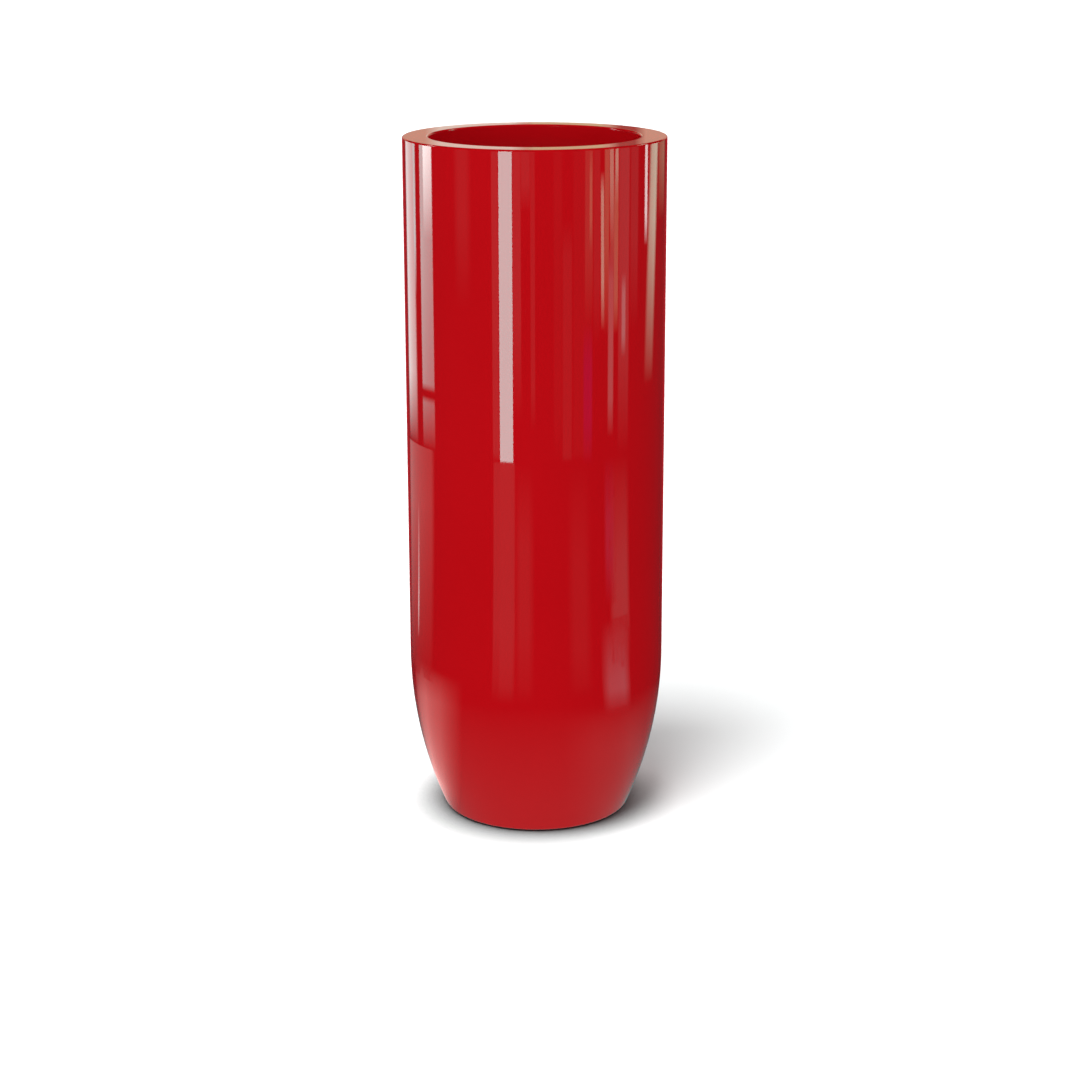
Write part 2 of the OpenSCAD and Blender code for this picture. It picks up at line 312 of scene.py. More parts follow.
def blend(made, factor, a, b):
    """Colour a at factor 0 and colour b at factor 1."""
    new = node(made, "Mix", {"data_type": "RGBA"}, i0=factor)
    for socket, value in ((new.inputs[6], a), (new.inputs[7], b)):
        if isinstance(value, bpy.types.NodeSocket):
            join(made, value, socket)
        else:
            socket.default_value = (*value, 1)
    return new.outputs[2]


def red_lacquer():
    """Polished red lacquer under clear coat: long soft waves, a faint orange peel and cloudy depth."""
    made, bsdf = shader("red_lacquer", IOR=1.45, Specular_IOR_Level=0.0, Coat_Weight=1.0,
                        Coat_Roughness=0.012, Coat_IOR=1.5)
    where = place(made)
    cloud = noise(made, where, 3.5, detail=4)
    fleck = noise(made, where, 900, detail=1)
    body = ramp(made, cloud, (0.25, (0.425, 0.0020, 0.0046)), (0.75, (0.455, 0.0026, 0.0056)))
    join(made, blend(made, ramp(made, fleck, (0.35, 0.0), (0.8, 0.12)), body, (0.48, 0.005, 0.008)),
         bsdf.inputs["Base Color"])
    join(made, ramp(made, noise(made, where, 24), (0.2, 0.34), (0.8, 0.46)), bsdf.inputs["Roughness"])
    waves = bump(made, noise(made, place(made, (1, 1, 0.55)), 7, detail=1), 0.05 * MM)
    peel = bump(made, noise(made, where, 260, detail=2), 0.0012 * MM, under=waves)
    join(made, peel, bsdf.inputs["Coat Normal"])
    join(made, peel, bsdf.inputs["Normal"])
    return made


def raw_laminate():
    """The inside of the laminate: grey flow coat over chopped glass strands."""
    made, bsdf = shader("raw_laminate", Specular_IOR_Level=0.35)
    where = place(made)
    strands = node(made, "TexVoronoi", {"feature": "DISTANCE_TO_EDGE"},
                   Vector=place(made, (1, 1, 2.6)), Scale=55).outputs["Distance"]
    patch = noise(made, where, 18, detail=5)
    colour = ramp(made, patch, (0.3, (0.20, 0.195, 0.185)), (0.7, (0.30, 0.29, 0.27)))
    join(made, blend(made, ramp(made, strands, (0.0, 0.5), (0.12, 0.0)), colour, (0.40, 0.38, 0.33)),
         bsdf.inputs["Base Color"])
    join(made, ramp(made, patch, (0.3, 0.38), (0.7, 0.62)), bsdf.inputs["Roughness"])
    rough = bump(made, noise(made, where, 90, detail=6, roughness=0.6), 0.5 * MM)
    join(made, bump(made, strands, 0.3 * MM, under=rough), bsdf.inputs["Normal"])
    return made


def plywood():
    """Sealed birch plywood: stretched face grain, and the plies' stripes on every edge."""
    made, bsdf = shader("plywood", Specular_IOR_Level=0.4)
    grain = noise(made, place(made, (2.2, 34, 34)), 6, detail=6, roughness=0.62, distortion=0.4)
    face = ramp(made, grain, (0.25, (0.40, 0.25, 0.12)), (0.5, (0.56, 0.38, 0.20)), (0.8, (0.66, 0.47, 0.27)))
    layers = node(made, "TexWave", {"wave_type": "BANDS", "bands_direction": "Z", "wave_profile": "SIN"},
                  Vector=place(made), Scale=120, Distortion=0.35, Detail=2).outputs["Fac"]
    plies = ramp(made, layers, (0.35, (0.24, 0.13, 0.06)), (0.5, (0.46, 0.30, 0.15)),
                 (0.8, (0.60, 0.42, 0.24)))
    up = node(made, "SeparateXYZ", Vector=node(made, "TexCoord").outputs["Normal"]).outputs["Z"]
    flat = node(made, "Math", {"operation": "ABSOLUTE"}, i0=up).outputs["Value"]
    join(made, blend(made, ramp(made, flat, (0.45, 0.0), (0.6, 1.0)), plies, face), bsdf.inputs["Base Color"])
    join(made, ramp(made, grain, (0.2, 0.42), (0.8, 0.6)), bsdf.inputs["Roughness"])
    join(made, bump(made, grain, 0.12 * MM), bsdf.inputs["Normal"])
    return made


def cleat_wood():
    """Resin-coated hardwood with long dark pores."""
    made, bsdf = shader("cleat_wood", Coat_Weight=0.3, Coat_Roughness=0.25)
    rings = node(made, "TexWave", {"bands_direction": "X"}, Vector=place(made, (1, 1, 0.08)), Scale=40,
                 Distortion=5, Detail=3).outputs["Fac"]
    pores = noise(made, place(made, (320, 320, 9)), 1, detail=3)
    colour = ramp(made, rings, (0.1, (0.17, 0.085, 0.035)), (0.9, (0.30, 0.17, 0.08)))
    join(made, blend(made, ramp(made, pores, (0.3, 0.55), (0.5, 0.0)), colour, (0.07, 0.035, 0.018)),
         bsdf.inputs["Base Color"])
    join(made, ramp(made, pores, (0.2, 0.55), (0.8, 0.38)), bsdf.inputs["Roughness"])
    join(made, bump(made, pores, 0.15 * MM), bsdf.inputs["Normal"])
    return made


def moulded(name, dark, light, grain, depth, rough, **sockets):
    """Moulded plastic or rubber: a fine tool grain, with colour and gloss that vary a little."""
    made, bsdf = shader(name, **sockets)
    where = place(made)
    cloud = noise(made, where, 30, detail=5)
    cells = node(made, "TexVoronoi", {"feature": "SMOOTH_F1"}, Vector=where, Scale=grain).outputs["Distance"]
    join(made, ramp(made, cloud, (0.3, dark), (0.75, light)), bsdf.inputs["Base Color"])
    join(made, ramp(made, cloud, (0.25, rough[0]), (0.75, rough[1])), bsdf.inputs["Roughness"])
    fine = bump(made, noise(made, where, grain * 2.3, detail=2), depth * 0.5)
    join(made, bump(made, cells, depth, under=fine), bsdf.inputs["Normal"])
    return made


def zinc():
    """Zinc-plated steel with a turned face and a little tarnish."""
    made, bsdf = shader("zinc_pin", Metallic=1.0)
    where = place(made)
    tarnish = noise(made, where, 420, detail=5)
    turned = noise(made, place(made, (1, 9, 1)), 900, detail=2)
    colour = ramp(made, tarnish, (0.3, (0.50, 0.50, 0.47)), (0.7, (0.68, 0.69, 0.70)))
    join(made, colour, bsdf.inputs["Base Color"])
    join(made, ramp(made, tarnish, (0.3, 0.42), (0.7, 0.24)), bsdf.inputs["Roughness"])
    join(made, bump(made, turned, 0.02 * MM), bsdf.inputs["Normal"])
    return made


RED = red_lacquer()
LAMINATE = raw_laminate()
PLY = plywood()
CLEAT = cleat_wood()
NYLON = moulded("drain_nylon", (0.055, 0.058, 0.060), (0.085, 0.088, 0.092), 900, 0.02 * MM, (0.36, 0.5))
RUBBER = moulded("rubber_black", (0.010, 0.010, 0.010), (0.022, 0.022, 0.021), 700, 0.03 * MM, (0.55, 0.75))
RING = moulded("o_ring_nitrile", (0.020, 0.020, 0.022), (0.034, 0.034, 0.036), 1500, 0.01 * MM, (0.32, 0.5))
PAD = moulded("pad_rubber", (0.012, 0.012, 0.012), (0.026, 0.025, 0.024), 600, 0.05 * MM, (0.6, 0.8))
POT = moulded("liner_black", (0.014, 0.014, 0.015), (0.026, 0.026, 0.027), 520, 0.05 * MM, (0.42, 0.58),
              Specular_IOR_Level=0.25)
GRIP = moulded("handle_black", (0.012, 0.012, 0.013), (0.022, 0.022, 0.023), 760, 0.03 * MM, (0.34, 0.48),
               Specular_IOR_Level=0.3)
ZINC = zinc()


# ---------------------------------------------------------------------------------------------
# The vessel
# ---------------------------------------------------------------------------------------------
def wall_r(z, inset=0.0):
    """Radius of the vessel's side at height z, moved in by inset."""
    if z >= CURVE_Z:
        return BODY_R - inset
    return CURVE_X + math.sqrt((CURVE_R - inset) ** 2 - (CURVE_Z - z) ** 2)


def side(inset, low, high, steps):
    """Points up the vessel's side from low to high."""
    heights = [low + (CURVE_Z - low) * i / steps for i in range(steps + 1)]
    return [(wall_r(z, inset), z) for z in heights] + [(BODY_R - inset, high)]


def vessel():
    """The vessel and its rim as the one body that shows: foot, wall, flat rim, skirt and inside."""
    edge_z = FOOT_Z + FOOT_EDGE
    foot_r = wall_r(edge_z, FOOT_EDGE)
    tilt = math.degrees(math.asin((CURVE_Z - edge_z) / (CURVE_R - FOOT_EDGE)))
    recess_r = foot_r - FOOT_RING
    floor_z = FOOT_Z + BASE
    boss_z = floor_z + RECESS
    hole_r = 15 * MM
    outer_round, inner_round, guard = 2.5 * MM, 3 * MM, 0.4 * MM
    skirt_r = OPENING_R + WALL
    skirt_round = 1 * MM
    recess_chamfer = 0.8 * MM
    outside = arc((foot_r, edge_z), FOOT_EDGE, -90, -tilt, 14)
    outside += side(0, outside[-1][1] + 1 * MM, RIM_Z - outer_round - guard, 48)
    top = arc((BODY_R - outer_round, RIM_Z - outer_round), outer_round, 0, 90, 14)
    top += [(BODY_R - outer_round - guard, RIM_Z), (OPENING_R + inner_round + guard, RIM_Z)]
    top += arc((OPENING_R + inner_round, RIM_Z - inner_round), inner_round, 90, 180, 14)
    skirt = [(OPENING_R, RIM_Z - inner_round - guard), (OPENING_R, RIM_LOW.z + 1.5 * skirt_round)]
    skirt += arc((OPENING_R + skirt_round, RIM_LOW.z + skirt_round), skirt_round, 180, 270, 6)
    skirt += arc((skirt_r - skirt_round, RIM_LOW.z + skirt_round), skirt_round, 270, 360, 6)
    inside = [(skirt_r, FLANGE_Z)]
    inside += list(reversed(side(WALL, floor_z, FLANGE_Z, 48)))
    inside += [(recess_r + BASE, floor_z), (recess_r + BASE, boss_z), (hole_r, boss_z)]
    below = [(hole_r, FOOT_Z + RECESS), (recess_r, FOOT_Z + RECESS), (recess_r, FOOT_Z + recess_chamfer)]
    below += [(recess_r + recess_chamfer, FOOT_Z)]
    outline = outside + top + skirt + inside + below
    lacquered = len(outside) + len(top) + len(skirt)
    number = {point: i for i, point in enumerate(outline)}

    def coat(point):
        """Lacquer outside, over the rim and its skirt and under the foot's ring, and laminate elsewhere."""
        return 0 if number[point] < lacquered or number[point] == len(outline) - 1 else 1

    piece("planter_vessel", revolve(outline, material=coat), "planter", "red_lacquer", (RED, LAMINATE),
          "outer_shell", "rim_ring")


vessel()


# ---------------------------------------------------------------------------------------------
# Foot pads and drain
# ---------------------------------------------------------------------------------------------
def foot_pad(number):
    """A rubber pad with a barbed stem, and a shallow dish under it."""
    low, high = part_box(f"foot_pad_{number}")
    middle = (low + high) / 2
    pad_r, pad_top = (high.x - low.x) / 2, FOOT_Z
    stem, stem_top, barb = 3 * MM, FOOT_Z + BASE, 0.8 * MM
    outline = [(0, 0.25 * MM), (pad_r * 0.55, 0.25 * MM), (pad_r * 0.62, 0)]
    outline += [(pad_r - 0.9 * MM, 0)] + arc((pad_r - 0.8 * MM, 0.8 * MM), 0.8 * MM, -90, 0, 6)
    outline += [(pad_r, pad_top - 0.2 * MM), (pad_r - 0.2 * MM, pad_top), (stem, pad_top)]
    outline += [(stem, stem_top), (stem + barb, stem_top), (stem - barb, high.z), (0, high.z)]
    form = moved(revolve(outline, steps=72), Matrix.Translation((middle.x, middle.y, 0)))
    piece(f"rubber_pad_{number}", form, "planter", "pad_rubber", (PAD,), f"foot_pad_{number}")


for number in range(1, 5):
    foot_pad(number)


def drain():
    """The lined hole in the bottom: bush, gasket, nut, and the plug with its sealing ring."""
    bush_low, bush_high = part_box("drain_bush")
    gasket_low, gasket_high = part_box("drain_gasket")
    nut_low, nut_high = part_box("drain_nut")
    plug_low, plug_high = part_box("drain_plug")
    bore, barrel, flange = 11 * MM, 15 * MM, bush_high.x
    turned, step_z = barrel - 0.35 * MM, bush_low.z + 6 * MM
    outline = soften([(bore, bush_low.z), (turned, bush_low.z), (turned, step_z),
                      (barrel, step_z), (barrel, gasket_high.z), (flange, gasket_high.z),
                      (flange, bush_high.z), (bore, bush_high.z)], 0.7 * MM)
    piece("drain_bush_nylon", revolve(outline, steps=144), "planter", "drain_grey", (NYLON,), "drain_bush")
    outline = soften([(barrel, gasket_low.z), (gasket_high.x, gasket_low.z), (gasket_high.x, gasket_high.z),
                      (barrel, gasket_high.z)], 0.5 * MM)
    piece("drain_gasket_ring", revolve(outline, steps=144), "planter", "rubber_black", (RUBBER,),
          "drain_gasket")

    flat = 21 * MM
    corner = flat / math.cos(math.pi / 6)

    def hexagon(r, turn):
        """The nut's six sides, whose corners are turned off where the outline is narrower."""
        beside = (turn + math.pi / 6) % (math.pi / 3) - math.pi / 6
        return r if r < flat * 0.9 else min(r, flat / math.cos(beside))

    chamfer = 1.2 * MM
    outline = [(barrel, nut_low.z), (corner - 2 * chamfer, nut_low.z), (corner, nut_low.z + chamfer),
               (corner, nut_high.z - chamfer), (corner - 2 * chamfer, nut_high.z), (barrel, nut_high.z)]
    form = revolve(outline, steps=144, radius=hexagon)
    piece("drain_nut_nylon", form, "planter", "drain_grey", (NYLON,), "drain_nut")

    shaft, head, neck, knob = 10.7 * MM, plug_high.x, 5 * MM, 9 * MM
    head_low = bush_high.z
    head_top = head_low + 4 * MM
    knob_low = head_top + 7.5 * MM
    groove, groove_z, groove_h = 8.6 * MM, 20.25 * MM, 1.15 * MM
    outline = soften([(0, plug_low.z), (shaft - 2 * MM, plug_low.z), (shaft, plug_low.z + 2 * MM),
                      (shaft, groove_z - groove_h), (groove, groove_z - groove_h),
                      (groove, groove_z + groove_h), (shaft, groove_z + groove_h),
                      (shaft, head_low), (head, head_low), (head, head_top),
                      (neck + 3 * MM, head_top), (neck, head_top + 2.5 * MM), (neck, knob_low),
                      (knob, knob_low), (knob, plug_high.z), (0, plug_high.z)], 1.2 * MM)[1:-1]
    outline = [(0, plug_low.z)] + [p for p in outline if p[0] > 1 * MM] + [(0, plug_high.z)]
    form = revolve(outline, steps=144)
    piece("drain_plug_rubber", form, "drain_plug", "rubber_black", (RUBBER,), "drain_plug")
    low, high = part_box("plug_o_ring")
    section = (high.z - low.z) / 2
    ring = circle(high.x - section, groove_z, section, 24)
    piece("plug_sealing_ring", revolve(ring, steps=144), "drain_plug", "o_ring_grey", (RING,), "plug_o_ring")


drain()


# ---------------------------------------------------------------------------------------------
# Boards and cleats
# ---------------------------------------------------------------------------------------------
def ring_of(count, radius, hole):
    """Round holes of one radius, spaced evenly on a circle."""
    turns = [2 * math.pi * i / count for i in range(count)]
    return [circle(radius * math.cos(turn), radius * math.sin(turn), hole) for turn in turns]


def shelf():
    """The lift-out shelf, with two finger holes and a ring of drain holes."""
    edge = 0.9 * MM
    thickness = SHELF_HIGH.z - SHELF_LOW.z
    finger_ring, finger_r = 128.5 * MM, 13 * MM
    drain_ring, drain_r = 61.05 * MM, 6 * MM
    holes = ring_of(2, finger_ring, finger_r + edge) + ring_of(6, drain_ring, drain_r + edge)
    form = plate(circle(0, 0, SHELF_R - edge, 256), holes, thickness, edge)
    form = moved(form, Matrix.Translation((0, 0, SHELF_LOW.z)))
    piece("lift_out_shelf", form, "shelf", "plywood", (PLY,), "shelf_board")


def carried_over():
    """CAD nodes whose shape is right keep it and take their finish."""
    finishes = {"base_board": PLY, "rim_stiffener": PLY}
    finishes.update({f"shelf_cleat_{i}": CLEAT for i in range(1, 5)})
    for name, finish in finishes.items():
        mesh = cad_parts[name].data
        mesh.materials.clear()
        mesh.materials.append(finish)


shelf()
carried_over()


# ---------------------------------------------------------------------------------------------
# Liner, its lip and its handles
# ---------------------------------------------------------------------------------------------
def pot():
    """The liner: a tapered wall, a raised floor with drain holes, and the fillet between them."""
    low_r = POT_HIGH.x - POT_TAPER
    clip_z = POT_HIGH.z - CLIP_H
    top_r = POT_HIGH.x
    in_low = low_r - LINER_WALL
    wall = soften([(in_low, POT_LOW.z), (low_r, POT_LOW.z), (top_r, clip_z), (top_r, POT_HIGH.z),
                   (top_r - LINER_WALL, POT_HIGH.z), (top_r - LINER_WALL, clip_z),
                   (in_low, POT_FLOOR + LINER_WALL + 1 * MM)], 0.9 * MM)
    edge = 0.6 * MM
    drain_ring, drain_r = 66.6 * MM, 5 * MM
    holes = [circle(0, 0, drain_r + edge)] + ring_of(6, drain_ring, drain_r + edge)
    floor = plate(circle(0, 0, in_low + 0.5 * MM, 192), holes, LINER_WALL, edge)
    floor = moved(floor, Matrix.Translation((0, 0, POT_FLOOR)))
    fillet = 4 * MM
    round_in = [(in_low + 0.3 * MM, POT_FLOOR + LINER_WALL - 0.3 * MM)]
    round_in += arc((in_low - fillet, POT_FLOOR + LINER_WALL + fillet), fillet, 0, -90, 8)
    form = together(revolve(wall), floor, revolve(round_in))
    piece("liner_pot", form, "liner", "liner_black", (POT,), "liner")


def ear(x, low_y):
    """An ear beside a pivot: a plate that stands on the lip, with a round top and the pin's bore."""
    edge = 0.5 * MM
    rise = PIVOT_Z - LIP_Z
    outside = [(-EYE_R + edge, -1 * MM), (EYE_R - edge, -1 * MM)] + arc((0, rise), EYE_R - edge, 0, 180, 24)
    form = plate(outside, [circle(0, rise, PIN_R + edge, 32)], EAR, edge)
    stand = Matrix.Translation((x, low_y + EAR, LIP_Z)) @ Matrix.Rotation(math.pi / 2, 4, "X")
    return moved(form, stand)


def lip():
    """The liner's clip-on lip, with two finger notches and the ears for the handles."""
    clip_r = POT_HIGH.x
    top_drop = LIP_Z - LIP_DROP
    outline = [(LIP_IN, POT_HIGH.z), (clip_r, POT_HIGH.z), (clip_r, POT_HIGH.z - CLIP_H),
               (clip_r + CLIP, POT_HIGH.z - CLIP_H), (clip_r + CLIP, POT_HIGH.z),
               (LIP_R - LINER_WALL, POT_HIGH.z), (LIP_R - LINER_WALL, top_drop), (LIP_R, top_drop),
               (LIP_R, LIP_Z), (LIP_IN, LIP_Z)]
    ring = revolve(soften(outline, 0.7 * MM))
    notch_in, notch_half, notch_round, past = clip_r + CLIP + 1 * MM, 32 * MM, 2.5 * MM, 4 * MM
    low_z, high_z = top_drop - past, LIP_Z + past
    notches = [box_form((notch_in, -notch_half, low_z), (LIP_R + past, notch_half, high_z), notch_round),
               box_form((-LIP_R - past, -notch_half, low_z), (-notch_in, notch_half, high_z), notch_round)]
    ears = [ear(x, y) for x in (-PIVOT_X, PIVOT_X)
            for y in (INNER_EAR_Y, OUTER_EAR_Y, -INNER_EAR_Y - EAR, -OUTER_EAR_Y - EAR)]
    form = together(carve(ring, *notches), *ears)
    piece("liner_lip", form, "liner", "liner_black", (POT,), "liner_collar")


def pins():
    """Four rivet-like pins, each with a domed head outside its ears."""
    head_r, head = 4 * MM, 0.8 * MM
    long = OUTER_EAR_Y + EAR - INNER_EAR_Y
    dome = [(PIN_R, 0), (head_r - 0.1 * MM, 0), (head_r, 0.12 * MM), (head_r - 0.35 * MM, 0.45 * MM),
            (head_r - 1.2 * MM, 0.68 * MM), (head_r - 2.4 * MM, head), (0, head)]
    outline = [(0, -head)] + [(r, -z) for r, z in reversed(dome[:-1])]
    outline += [(r, long + z) for r, z in dome]
    forms = []
    for x in (-PIVOT_X, PIVOT_X):
        for start in (INNER_EAR_Y, -OUTER_EAR_Y - EAR):
            lay = Matrix.Translation((x, start, PIVOT_Z)) @ Matrix.Rotation(-math.pi / 2, 4, "X")
            forms.append(moved(revolve(outline, steps=48), lay))
    piece("handle_pins", together(*forms), "liner", "zinc_pin", (ZINC,), "handle_pivots")


def handle(name, node_name, flip):
    """A half ring with grip grooves on its crown, and an eye at each end."""
    low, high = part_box(node_name)
    in_r = HANDLE_R - HANDLE_W
    ring_z = LIP_Z + 0.5 * MM
    top_z = ring_z + HANDLE_T
    reach = math.degrees(math.acos((PIVOT_X + PIN_R + 0.2 * MM) / (in_r + HANDLE_W / 2)))
    section = soften([(in_r, ring_z), (HANDLE_R, ring_z), (HANDLE_R, top_z), (in_r, top_z)], 2 * MM, steps=6)
    grooved = ring_z + HANDLE_T * 0.6       # grooves sink the handle above this height only
    groove, grooves, grip = 0.55 * MM, 150, 12.2
    bm = bmesh.new()
    steps = 480
    loops = []
    for i in range(steps + 1):
        turn = -reach + 2 * reach * i / steps
        a = math.radians(turn)
        sink = groove * max(0.0, math.cos(a * grooves)) ** 0.6 if abs(turn) < grip else 0.0
        loops.append([bm.verts.new((r * math.cos(a), r * math.sin(a), z - sink * (z > grooved)))
                      for r, z in section])
    count = len(section)
    for near, far in zip(loops, loops[1:]):
        for j in range(count):
            bm.faces.new((near[j], far[j], far[(j + 1) % count], near[(j + 1) % count]))
    bm.faces.new(loops[0])
    bm.faces.new(list(reversed(loops[-1])))
    bmesh.ops.recalc_face_normals(bm, faces=bm.faces)
    bore = PIN_R + 0.05 * MM
    eye = soften([(bore, 0), (EYE_R, 0), (EYE_R, HANDLE_W), (bore, HANDLE_W)], 0.7 * MM, steps=4)
    eyes = []
    for start in (in_r, -HANDLE_R):
        lay = Matrix.Translation((PIVOT_X, start, PIVOT_Z)) @ Matrix.Rotation(-math.pi / 2, 4, "X")
        eyes.append(moved(revolve(eye, steps=64), lay))
    form = moved(together(bm, *eyes), Matrix.Rotation(math.pi if flip else 0, 4, "Z"))
    piece(name, form, node_name, "handle_black", (GRIP,), node_name)


pot()
lip()
pins()
handle("lift_handle_right", "handle_right", False)
handle("lift_handle_left", "handle_left", True)


# ---------------------------------------------------------------------------------------------
# Studio: floor, lights, reflections and camera
# ---------------------------------------------------------------------------------------------
def studio_object(name, mesh, material, **seen):
    """An object of the studio, which only the named kinds of ray see."""
    obj = bpy.data.objects.new(name, mesh)
    mesh.materials.append(material)
    bpy.context.scene.collection.objects.link(obj)
    for kind in ("camera", "diffuse", "glossy", "transmission", "volume_scatter", "shadow"):
        setattr(obj, "visible_" + kind, seen.get(kind, False))
    return obj


def floor():
    """A pale matt floor with painted contact shade: its colour darkens where the AO node finds it closed in,
    round the foot. Gloss sees other light there, as in a dim room.
    """
    made, bsdf = shader("studio_floor", Roughness=0.9, Specular_IOR_Level=0.0)
    # Painted shade: the AO node darkens the floor's colour near the foot. The slight cyan tint of every stop
    # offsets the red light that the vessel throws on the floor.
    ao_painted_shade = node(made, "AmbientOcclusion", {"samples": 8}, Distance=0.10).outputs["AO"]
    join(made, ramp(made, ao_painted_shade, (0.3, (0.046, 0.052, 0.052)), (0.58, (0.36, 0.39, 0.39)),
                    (0.80, (0.605, 0.62, 0.62))), bsdf.inputs["Base Color"])
    mesh = bpy.data.meshes.new("studio_floor")
    bm = bmesh.new()
    bmesh.ops.create_circle(bm, cap_ends=True, segments=96, radius=60)
    bm.to_mesh(mesh)
    bm.free()
    return studio_object("studio_floor", mesh, made, camera=True, transmission=True, shadow=True)


def fade(made, along, start, end):
    """Rises from clear over the first share and falls to clear over the last. A share of 0 keeps its
    edge sharp."""
    near, first = (0.0, 0.0 if start else 1.0), (max(start, 0.001), 1.0)
    last, far = (1 - max(end, 0.001), 1.0), (1.0, 0.0 if end else 1.0)
    return ramp(made, along, near, first, last, far)


def glow_material(name, colour, strength, sides, foot, top):
    """Light that fades towards a panel's sides, foot and top by those shares of it."""
    made = bpy.data.materials.new(name)
    made.use_nodes = True
    made.node_tree.nodes.clear()
    uv = node(made, "SeparateXYZ", Vector=node(made, "TexCoord").outputs["UV"])
    across = fade(made, uv.outputs["X"], sides, sides)
    along = fade(made, uv.outputs["Y"], foot, top)
    share = node(made, "Math", {"operation": "MULTIPLY"}, i0=across, i1=along).outputs["Value"]
    light = node(made, "Emission", Color=(*colour, 1), Strength=strength)
    clear = node(made, "BsdfTransparent")
    mix = node(made, "MixShader", i0=share)
    join(made, clear.outputs[0], mix.inputs[1])
    join(made, light.outputs[0], mix.inputs[2])
    join(made, mix.outputs[0], node(made, "OutputMaterial").inputs["Surface"])
    made.cycles.emission_sampling = "NONE"
    return made


def glow(name, spot, colour, strength, sides, foot, top, columns=12, rows=8):
    """A surface of light for gloss alone: spot(u, v) is its point at the share u across and v up."""
    mesh = bpy.data.meshes.new(name)
    bm = bmesh.new()
    uv = bm.loops.layers.uv.new("UVMap")
    shares = {(i, j): (i / columns, j / rows) for i in range(columns + 1) for j in range(rows + 1)}
    grid = {key: bm.verts.new(spot(*share)) for key, share in shares.items()}
    for i in range(columns):
        for j in range(rows):
            corners = ((i, j), (i + 1, j), (i + 1, j + 1), (i, j + 1))
            face = bm.faces.new([grid[c] for c in corners])
            for loop, corner in zip(face.loops, corners):
                loop[uv].uv = shares[corner]
    bm.to_mesh(mesh)
    bm.free()
    return studio_object(name, mesh, glow_material(name, colour, strength, sides, foot, top), glossy=True)


def panel(name, start, end, low, high, colour, strength, sides=0.2, foot=0.1, top=0.1,
          distance=2.5, lean=0.0):
    """A curved strip of light that stands round the object. Its angles run from the camera's side
    towards +X, and it leans by that many degrees from its foot to its top."""
    def spot(u, v):
        a = math.radians(start + (end - start) * u + lean * (v - 0.5))
        return distance * math.sin(a), -distance * math.cos(a), low + (high - low) * v
    return glow(name, spot, colour, strength, sides, foot, top)


def wedge(name, start, end, near, far, colour, strength, sides=0.2, foot=0.2, top=0.2, height=0.0):
    """A sector of light that lies flat, between two radii, with angles as a panel's."""
    def spot(u, v):
        a = math.radians(start + (end - start) * u)
        r = near + (far - near) * v
        return r * math.sin(a), -r * math.cos(a), height
    return glow(name, spot, colour, strength, sides, foot, top, columns=24)


# Colours of the light that the lacquer mirrors
COOL, PALE, PINK = (0.40, 1.0, 0.98), (0.75, 1.0, 0.98), (1.7, 1.0, 0.95)
CREAM, AMBER, BLUE = (0.50, 1.0, 0.76), (0.55, 1.0, 0.64), (0.0, 0.16, 1.0)
RED_WALL = (1.0, 0.07, 0.09)


